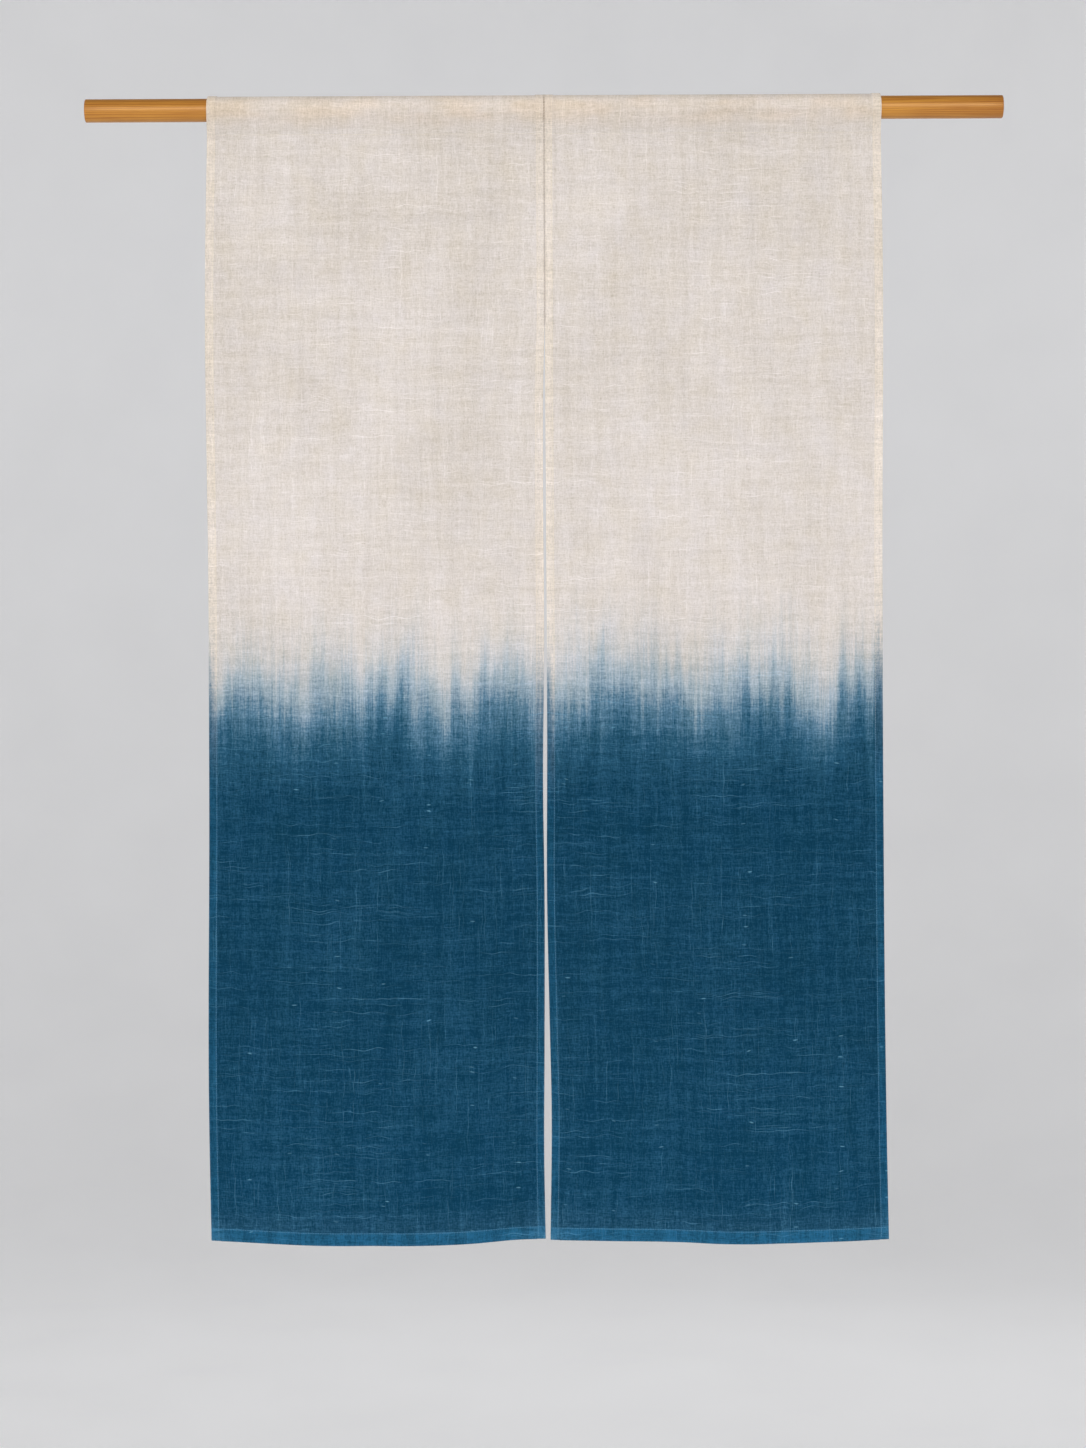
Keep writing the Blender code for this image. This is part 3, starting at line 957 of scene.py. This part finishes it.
def put(tree, kind, inputs=(), out=0, **settings):
    """Adds a node and returns the wire from its output out, by name or number, or all its wires
    where out is None. Inputs are numbers, vectors, colours or wires, by name or in their order."""
    made = tree.nodes.new(kind)
    for name, value in settings.items():
        setattr(made, name, value)
    for key, value in inputs.items() if isinstance(inputs, dict) else enumerate(inputs):
        feed(tree, made.inputs[key], value)
    if out is None:
        return [Wire(tree, output) for output in made.outputs]
    return Wire(tree, made.outputs[out])


def joined(operation, *values):
    """One Math node's result, or one Vector Math node's where a vector takes part."""
    wires = [value for value in values if isinstance(value, Wire)]
    vector = wires[0].socket.type == "VECTOR" or any(isinstance(value, tuple) for value in values)
    kind = "ShaderNodeVectorMath" if vector else "ShaderNodeMath"
    return put(wires[0].tree, kind, values, operation=operation)


def ramp(value, low, high, to_low=0.0, to_high=1.0, shape="LINEAR"):
    """A wire's place between low and high, as a Map Range node gives it."""
    ends = {"From Min": low, "From Max": high, "To Min": to_low, "To Max": to_high}
    inputs = {"Value": value, **ends}
    return put(value.tree, "ShaderNodeMapRange", inputs, "Result", interpolation_type=shape)


def ease(value, low, high, to_low=0.0, to_high=1.0):
    """The same with a smooth start and end."""
    return ramp(value, low, high, to_low, to_high, "SMOOTHSTEP")


def flat_noise(place, across, along, detail=1.0):
    """Noise on a flat place in metres, with so many features per metre across and along."""
    shift = (along * 0.37 % 11, across * 0.61 % 13, 0.0)
    inputs = {"Vector": place * (across, along, 0.0) + shift, "Scale": 1.0}
    inputs.update({"Detail": detail, "Roughness": 0.55})
    return put(place.tree, "ShaderNodeTexNoise", inputs, "Fac", noise_dimensions="2D")


def layered_noise(place, layers):
    """The sum of a table's flat noises, each about 0 and times its weight."""
    parts = [(flat_noise(place, layer.across, layer.along) - 0.5) * layer.weight for layer in layers]
    return sum(parts[1:], start=parts[0])


def mix(tree, share, first, second, blend="MIX"):
    """A Mix node's colour."""
    inputs = {0: share, 6: first, 7: second}
    return put(tree, "ShaderNodeMix", inputs, 2, data_type="RGBA", blend_type=blend)


def scaled(tree, colour, factors):
    """A colour whose red, green and blue are multiplied by a factor each."""
    factors = put(tree, "ShaderNodeCombineColor", factors)
    return mix(tree, 1.0, colour, factors, blend="MULTIPLY")


def opaque(colour):
    """A colour of three values with full opacity."""
    return (*colour, 1.0)


def start_group(name, inputs, outputs):
    """A new shader node group with these named sockets: its tree, its inputs as wires by name, and
    the node that takes its outputs."""
    tree = bpy.data.node_groups.new(name, "ShaderNodeTree")
    for in_out, sockets in (("INPUT", inputs), ("OUTPUT", outputs)):
        for socket_name, kind in sockets.items():
            tree.interface.new_socket(socket_name, in_out=in_out, socket_type="NodeSocket" + kind)
    given = tree.nodes.new("NodeGroupInput")
    wires = {socket_name: Wire(tree, given.outputs[socket_name]) for socket_name in inputs}
    return tree, wires, tree.nodes.new("NodeGroupOutput")


def use_group(tree, maker, inputs):
    """Places the node group that a function makes, built once under the function's own name, and
    returns the wires from its outputs."""
    group = bpy.data.node_groups.get(maker.__name__) or maker()
    return put(tree, "ShaderNodeGroup", inputs, None, node_tree=group)


def linen_weave():
    """The linen's weave: uneven threads both ways, slubs, neps, flecks, patches and its relief.

    Tone is near 0 on average, the masks run from 0 to 1 and Height is in thread thicknesses.
    """
    results = ("Tone", "Slub", "Nep", "Fleck", "Patch", "Hue", "Height")
    tree, given, result = start_group(
        "linen_weave", {"Cut": "Vector", "Thread Pitch": "Float"}, dict.fromkeys(results, "Float")
    )
    cut = given["Cut"]

    def bent(place, scale, reach, detail):
        """A place moved about by soft noise, by up to half of reach each way."""
        inputs = {"Vector": cut, "Scale": scale, "Detail": detail}
        noise = put(tree, "ShaderNodeTexNoise", inputs, "Color", noise_dimensions="2D")
        return place + (noise - (0.5, 0.5, 0.5)) * reach

    place = bent(cut, 14.0, (0.004, 0.007, 0.0), 1.0)
    wavy = bent(place, 52.0, (0.004, 0.006, 0.0), 0.0)
    tone = layered_noise(place, THREAD_TONES)

    weft = ease(flat_noise(wavy, 4, 700), 0.64, 0.79) * ease(flat_noise(wavy, 34, 520), 0.34, 0.66)
    warp = ease(flat_noise(wavy, 720, 5), 0.65, 0.81) * ease(flat_noise(wavy, 520, 34), 0.34, 0.66)
    slub = joined("MAXIMUM", weft, warp * 0.8)

    inputs = {"Vector": wavy * (17.0, 64.0, 0.0), "Scale": 1.0}
    distance, cell = put(tree, "ShaderNodeTexVoronoi", inputs, None, voronoi_dimensions="2D")[:2]
    chosen = put(tree, "ShaderNodeSeparateColor", [cell])
    nep = ease(distance, 0.07, 0.02) * ease(chosen, 0.76, 1.0)
    fleck = ease(flat_noise(place, 560, 500), 0.36, 0.22)
    patch = flat_noise(place, 9, 5, 2.0)
    hue = flat_noise(place, 30, 22, 3.0)

    waves = [
        joined("SINE", joined("DIVIDE", run, given["Thread Pitch"]) * math.pi)
        for run in put(tree, "ShaderNodeSeparateXYZ", [place], None)[:2]
    ]
    over = waves[0] * waves[1]
    warp_relief = joined("ABSOLUTE", waves[0]) * (over * 0.5 + 0.5)
    weft_relief = joined("ABSOLUTE", waves[1]) * (over * -0.5 + 0.5)
    height = joined("MAXIMUM", warp_relief, weft_relief) + slub * 0.6 + tone * 1.2 + nep

    for name, value in zip(results, (tone, slub, nep, fleck, patch, hue, height)):
        feed(tree, result.inputs[name], value)
    return tree


def dip_dye():
    """Dip dye on cloth: how far past the dye line a place is, as a colour and a strength.

    The strength rises with the depth past the line, in metres: a long faint tail above it, a steep
    middle and a long tail below. Streaks that follow the warp shift the line thread by thread.
    """
    tree, given, result = start_group(
        "dip_dye",
        {"Depth": "Float", "Cut": "Vector", "Lighten": "Float", **dict.fromkeys(DYES, "Color")},
        {"Colour": "Color", "Strength": "Float"},
    )
    depth = given["Depth"] + layered_noise(given["Cut"], DYE_STREAKS)

    first, last = DYE_CURVE[0].depth, DYE_CURVE[-1].depth
    curve = tree.nodes.new("ShaderNodeFloatCurve")
    points = curve.mapping.curves[0].points
    while len(points) < len(DYE_CURVE):
        points.new(0.5, 0.5)
    for point, place in zip(points, DYE_CURVE):
        point.location = ((place.depth - first) / (last - first), place.strength)
    curve.mapping.update()
    feed(tree, curve.inputs["Value"], ramp(depth, first * MM, last * MM))
    strength = Wire(tree, curve.outputs["Value"])
    shown = strength - given["Lighten"] * strength

    colour = given[DYES[0]]
    for name, low, high in zip(DYES[1:], DYE_STEPS, DYE_STEPS[1:]):
        colour = mix(tree, ramp(shown, low, high), colour, given[name])
    feed(tree, result.inputs["Colour"], colour)
    feed(tree, result.inputs["Strength"], strength)
    return tree


def uneven_tone():
    """Soft noise that makes a colour darker and lighter, between two factors."""
    tree, given, result = start_group(
        "uneven_tone",
        {
            "Colour": "Color",
            "Place": "Vector",
            "Scale": "Float",
            "Detail": "Float",
            "Darkest": "Float",
            "Lightest": "Float",
        },
        {"Colour": "Color", "Noise": "Float"},
    )
    inputs = {"Vector": given["Place"], "Scale": given["Scale"], "Detail": given["Detail"]}
    noise = put(tree, "ShaderNodeTexNoise", inputs, "Fac")
    factor = ramp(noise, 0.3, 0.7, given["Darkest"], given["Lightest"])
    feed(tree, result.inputs["Colour"], scaled(tree, given["Colour"], [factor] * 3))
    feed(tree, result.inputs["Noise"], noise)
    return tree


def start_material(name):
    """A new material with its tree, its Principled shader and the place on the object in metres."""
    material = bpy.data.materials.new(name)
    material.use_nodes = True
    tree = material.node_tree
    return material, tree, tree.nodes["Principled BSDF"], put(tree, "ShaderNodeTexCoord", (), "Object")


def finish_surface(tree, shader, colour, rough, relief, strength, depth):
    """Feeds the shader its colour, its roughness and a relief of this strength and depth."""
    inputs = {"Strength": strength, "Distance": depth, "Height": relief}
    bump = put(tree, "ShaderNodeBump", inputs, "Normal")
    for name, value in (("Base Color", colour), ("Roughness", rough), ("Normal", bump)):
        feed(tree, shader.inputs[name], value)


def linen_material(cloth):
    """Slubbed linen, bare at the top and dip-dyed below, paler where hems lie behind it, lighter at
    its folded edges as rubbing and painted highlight, and warmer where the rod is painted as
    showing through."""
    material, tree, shader, spot = start_material("dip_dyed_linen")
    height = put(tree, "ShaderNodeSeparateXYZ", [spot], "Z")
    cut = put(tree, "ShaderNodeUVMap", (), "UV", uv_map="cut")
    tone, slub, nep, fleck, patch, hue, relief = use_group(
        tree, linen_weave, {"Cut": cut, "Thread Pitch": cloth.thread_pitch}
    )
    dye_depth, layers, edge_wear_and_highlight, seam_shade, stitched = (
        put(tree, "ShaderNodeAttribute", (), "Fac", attribute_name=name)
        for name in ("dye_depth", "hem_layers", "fold_wear_and_highlight", "seam_painted_shade", "stitch_line")
    )

    # The dip dye, of which light threads and patches took less
    dyes = (cloth.undyed, cloth.faint_dye, cloth.half_dye, cloth.deep_dye, cloth.full_dye)
    depth = dye_depth + layers * 0.03 + tone * -0.022
    lighter = tone * 0.32 + 0.03 + ramp(patch, 0.3, 0.7, -0.014, 0.014)
    colour, strength = use_group(
        tree,
        dip_dye,
        {"Depth": depth, "Cut": cut, "Lighten": lighter, **dict(zip(DYES, map(opaque, dyes)))},
    )

    # The hems, which show unevenly where they are dyed
    hem = mix(tree, strength, opaque(cloth.undyed_hem), opaque(cloth.dyed_hem))
    bare_share = joined("MINIMUM", layers * 2.1, 0.9)
    unevenly = ease(flat_noise(cut, 60, 11, 2.0), 0.3, 0.7, 0.55, 1.15)
    dyed_share = joined("MINIMUM", layers * unevenly, 1.0)
    share = ease(strength, 0.1, 0.8, bare_share, dyed_share) * (tone * 1.6 + 0.95)
    colour = mix(tree, share, colour, hem)

    # Slubs, neps and stitch lines took less dye; folded edges and corners are lighter, partly rubbed
    # and partly painted highlight
    pale = (slub * 0.22 + nep * 0.55 + stitched * 0.10) * strength
    colour = mix(tree, pale, colour, opaque(shade(*PALE_SLUB)))
    worn_and_lit = mix(tree, strength, opaque(shade(*BARE_WEAR_AND_HIGHLIGHT)), opaque(shade(*WORN_DYED)))
    worn_and_lit_share = ease(strength, 0.1, 0.8, 0.7, 0.28) * (tone * 2.4 + 1.0)
    colour = mix(tree, edge_wear_and_highlight * worn_and_lit_share, colour, worn_and_lit)

    # The rod painted through the pocket's cloth as light passing through it, and the painted shadow
    # between the two edges of the seam
    over_rod = ease(joined("ABSOLUTE", height), 32 * MM, 3 * MM)
    glow = ease(flat_noise(cut, 12, 26, 2.0), 0.36, 0.70, 0.25, 0.66)
    colour = mix(tree, over_rod * glow, colour, opaque(shade(*ROD_GLOW)))
    # Painted shadow in the seam, its strength changing with height
    seam_shade = seam_shade * ramp(height, -0.3, 0.0, 0.46, 0.36)
    colour = mix(tree, seam_shade, colour, opaque(shade(*SEAM_SHADOW)))

    # Light and dark threads, flecks and patches, and a slow change from top to bottom: darker towards
    # the top, and lighter towards the foot as painted light
    bare = 1.0 - strength
    change = tone * 0.48 + slub * (bare * 0.11 + 0.13) - fleck * bare * 0.16
    change = change + ramp(patch, 0.3, 0.7, -0.04, 0.04) * (bare * 0.75 + 0.25)
    # Painted light: the foot lighter than the middle
    change = change + ramp(height, -0.55, -0.05, 0.04, -0.035) + ease(height, -1.1, -1.45, 0.0, 0.10)
    hue = hue - 0.5
    factors = [
        change * amount + 1.0 + hue * drift
        for amount, drift in ((0.92, 0.03), (1.0, 0.06), (1.22, 0.17))
    ]
    rough = ramp(tone, -0.2, 0.2, 0.95, 0.82)
    finish_surface(tree, shader, scaled(tree, colour, factors), rough, relief, 0.55, 0.16 * MM)
    shader.inputs["Specular IOR Level"].default_value = 0.12
    shader.inputs["Sheen Weight"].default_value = 0.02
    return material


def thread_material(cloth, thread):
    """Twisted sewing thread, cream above the dye line and light blue below it."""
    material, tree, shader, spot = start_material("sewing_thread")
    height = put(tree, "ShaderNodeSeparateXYZ", [spot], "Z")
    line = CREASE_TOP - cloth.dye_drop
    strength = ease(height, line + 55 * MM, line - 70 * MM)
    plain = mix(tree, strength, opaque(thread.undyed), opaque(thread.dyed))
    inputs = {"Colour": plain, "Place": spot, "Scale": 260.0, "Detail": 2.0}
    inputs.update({"Darkest": 0.82, "Lightest": 1.12})
    colour, noise = use_group(tree, uneven_tone, inputs)
    inputs = {"Vector": spot, "Scale": 900.0, "Distortion": 1.5}
    twist = put(tree, "ShaderNodeTexWave", inputs, "Fac", bands_direction="DIAGONAL")
    rough = ramp(noise, 0.3, 0.7, 0.6, 0.8)
    finish_surface(tree, shader, colour, rough, twist, 0.4, 0.05 * MM)
    return material


def wood_material(rod):
    """Varnished wood: growth rings about a pith beside the axis, drawn out along the rod, with
    fine fibres and pores, a redder, darker right end as painted shade with a reddish painted
    reflection, and a smooth coat."""
    material, tree, shader, spot = start_material("varnished_wood")

    def drawn_out(along, around, detail, out="Fac"):
        """Noise with so many features per metre along the rod and around it."""
        inputs = {"Vector": spot * (along, around, around), "Scale": 1.0, "Detail": detail}
        return put(tree, "ShaderNodeTexNoise", inputs, out)

    wander = (drawn_out(2.2, 60.0, 2.0, "Color") - (0.5, 0.5, 0.5)) * (0.0, 0.012, 0.012)
    from_pith = (spot + wander + PITH_OFFSET) * (0.0, 1.0, 1.0)
    radius = put(tree, "ShaderNodeVectorMath", [from_pith], "Value", operation="LENGTH")
    late = ease(joined("SINE", radius * (2 * math.pi / RING_WIDTH)), -0.2, 1.0)
    fibre = drawn_out(18.0, 900.0, 3.0)
    cloud = drawn_out(9.0, 30.0, 2.0)
    place = put(tree, "ShaderNodeSeparateXYZ", [spot], "X")
    share = late * 0.45 + ramp(fibre, 0.35, 0.7, 0.0, 0.35) + ramp(cloud, 0.3, 0.7, -0.15, 0.25)
    # Painted shade with a reddish painted reflection: the right end redder and darker
    share = share + ease(place, ROD_LENGTH * 0.9, ROD_LENGTH, 0.0, 0.3)
    share = put(tree, "ShaderNodeClamp", [share])
    colour = mix(tree, share, opaque(rod.wood), opaque(rod.grain))
    finish_surface(tree, shader, colour, ramp(fibre, 0.3, 0.7, 0.30, 0.42), fibre, 0.25, 0.05 * MM)
    shader.inputs["Specular IOR Level"].default_value = 1.0
    shader.inputs["Specular Tint"].default_value = VARNISH_TINT
    shader.inputs["Coat Weight"].default_value = 0.12
    shader.inputs["Coat Roughness"].default_value = 0.25
    return material


def stage_material(stage):
    """Matte painted plaster, plain and pale, with a barely uneven coat and a faint glow."""
    material, tree, shader, spot = start_material("pale_plaster")
    inputs = {"Colour": opaque(stage.backdrop), "Place": spot, "Scale": 3.0, "Detail": 4.0}
    inputs.update({"Darkest": 0.985, "Lightest": 1.015})
    colour = use_group(tree, uneven_tone, inputs)[0]
    feed(tree, shader.inputs["Base Color"], colour)
    feed(tree, shader.inputs["Emission Color"], colour)
    shader.inputs["Emission Strength"].default_value = stage.room_glow
    shader.inputs["Roughness"].default_value = 0.9
    shader.inputs["Specular IOR Level"].default_value = 0.2
    return material


# The stage


def make_sweep(stage, material):
    """Floor and backdrop in one round sweep about the curtain: a level line, a quarter circle and an
    upright line, turned about the upright axis through the rod's middle."""
    arc = np.linspace(0, math.pi / 2, 24)
    level = SWEEP_RADIUS - SWEEP_BEND
    reach = np.concatenate([[0.5], level + SWEEP_BEND * np.sin(arc), [SWEEP_RADIUS]])
    rise = np.concatenate([[0.0], SWEEP_BEND - SWEEP_BEND * np.cos(arc), [SWEEP_HEIGHT]])
    angles = np.arange(SWEEP_SIDES) / SWEEP_SIDES * 2 * math.pi
    points = grid(
        SEAM_X + reach[:, None] * np.cos(angles),
        reach[:, None] * np.sin(angles),
        rise[:, None] - stage.floor_drop,
    )
    faces = grid_faces(len(reach), SWEEP_SIDES, around=True).tolist()
    faces.append(list(range(SWEEP_SIDES))[::-1])
    piece = mesh_piece("pale_sweep", points, [face[::-1] for face in faces], material)
    return piece


def add_light(light, key_power):
    """A soft rectangular light that faces its target and that the camera doesn't see."""
    source = bpy.data.lights.new(light.name, "AREA")
    source.shape = "RECTANGLE"
    source.energy = key_power * light.share
    source.size, source.size_y = light.size
    source.spread = LIGHT_SPREAD
    lamp = bpy.data.objects.new(light.name, source)
    lamp.location = light.place
    away = np.array(light.place) - np.array(light.target)
    lamp.rotation_euler = (
        math.acos(away[2] / np.linalg.norm(away)),
        0.0,
        math.atan2(away[1], away[0]) + math.pi / 2,
    )
    lamp.visible_camera = False
    bpy.context.scene.collection.objects.link(lamp)
    return lamp


def set_stage(stage):
    """The sweep, the lights, of which the top one lights the cloth alone, an even world and the
    camera."""
    make_sweep(stage, stage_material(stage))
    lamps = {light.name: add_light(light, stage.key_power) for light in LIGHTS}
    lit_from_above = bpy.data.collections.new("lit_from_above")
    for made in BUILT["panels"]:
        lit_from_above.objects.link(made[0])
    lamps["top"].light_linking.receiver_collection = lit_from_above

    world = bpy.data.worlds.new("soft_room")
    world.use_nodes = True
    background = world.node_tree.nodes["Background"]
    background.inputs["Color"].default_value = (1.0, 1.0, 1.0, 1.0)
    background.inputs["Strength"].default_value = WORLD_STRENGTH
    bpy.context.scene.world = world

    view = bpy.data.cameras.new("camera")
    view.angle = 2 * math.atan(VIEW_HEIGHT / 2 / stage.camera_distance)
    camera = bpy.data.objects.new("camera", view)
    camera.location = (VIEW_CENTRE[0], -stage.camera_distance, VIEW_CENTRE[1])
    camera.rotation_euler = (math.pi / 2, CAMERA_ROLL, 0.0)
    bpy.context.scene.collection.objects.link(camera)
    bpy.context.scene.camera = camera
    bpy.context.scene.view_settings.view_transform = "Standard"


# Operators


# What the operators have built so far, for the ones that follow
BUILT = {}


class NOREN_OT_rod(bpy.types.Operator):
    """Build the varnished rod that the panels hang from"""

    bl_idname = "noren.rod"
    bl_label = "Build rod"

    def execute(self, context):
        BUILT["rod"] = make_rod(context.scene.noren_rod, wood_material(context.scene.noren_rod))
        return {"FINISHED"}


class NOREN_OT_panels(bpy.types.Operator):
    """Hang the two dip-dyed linen panels on the rod"""

    bl_idname = "noren.panels"
    bl_label = "Hang panels"

    def execute(self, context):
        cloth = context.scene.noren_cloth
        material = linen_material(cloth)
        BUILT["panels"] = [make_panel(panel, cloth, material) for panel in PANELS]
        return {"FINISHED"}


class NOREN_OT_stitching(bpy.types.Operator):
    bl_idname = "noren.stitching"
    bl_label = "Sew hems and seam"

    def execute(self, context):
        if "panels" not in BUILT or "rod" not in BUILT:
            raise RuntimeError("build the rod and hang the panels first")
        cloth = context.scene.noren_cloth
        thread = context.scene.noren_thread
        material = thread_material(cloth, thread)
        hung = [made[1] for made in BUILT["panels"]]
        seam = seam_stitches(*hung, cloth, thread, material)
        for panel, (piece, laid, flat_size) in zip(PANELS, BUILT["panels"]):
            stitches = panel_stitches(panel, laid, cloth, thread, material)
        return {"FINISHED"}


class NOREN_OT_stage(bpy.types.Operator):
    """Set the plain floor and backdrop, the lights and the camera"""

    bl_idname = "noren.stage"
    bl_label = "Set stage"

    def execute(self, context):
        set_stage(context.scene.noren_stage)
        return {"FINISHED"}


class NOREN_PT_sidebar(bpy.types.Panel):
    """Lists the curtain's steps and settings"""

    bl_idname = "NOREN_PT_sidebar"
    bl_label = "Noren curtain"
    bl_space_type = "VIEW_3D"
    bl_region_type = "UI"
    bl_category = "Noren"

    def draw(self, context):
        for operator, group in (
            (NOREN_OT_rod, "noren_rod"),
            (NOREN_OT_panels, "noren_cloth"),
            (NOREN_OT_stitching, "noren_thread"),
            (NOREN_OT_stage, "noren_stage"),
        ):
            box = self.layout.box()
            settings = getattr(context.scene, group)
            for name in settings.__annotations__:
                box.prop(settings, name)
            box.operator(operator.bl_idname)


GROUPS = {
    "noren_cloth": NorenCloth,
    "noren_thread": NorenThread,
    "noren_rod": NorenRod,
    "noren_stage": NorenStage,
}
OPERATORS = (NOREN_OT_rod, NOREN_OT_panels, NOREN_OT_stitching, NOREN_OT_stage)


def register():
    """Registers the settings, the operators and the sidebar panel."""
    for kind in (*GROUPS.values(), *OPERATORS, NOREN_PT_sidebar):
        bpy.utils.register_class(kind)
    for name, group in GROUPS.items():
        setattr(bpy.types.Scene, name, bpy.props.PointerProperty(type=group))


def unregister():
    """Takes them away again."""
    for name in GROUPS:
        delattr(bpy.types.Scene, name)
    for kind in (NOREN_PT_sidebar, *reversed(OPERATORS), *reversed(list(GROUPS.values()))):
        bpy.utils.unregister_class(kind)


def main():
    """Builds every piece and the stage in order."""
    register()
    bpy.ops.noren.rod()
    bpy.ops.noren.panels()
    bpy.ops.noren.stitching()
    bpy.ops.noren.stage()


if __name__ == "__main__":
    main()
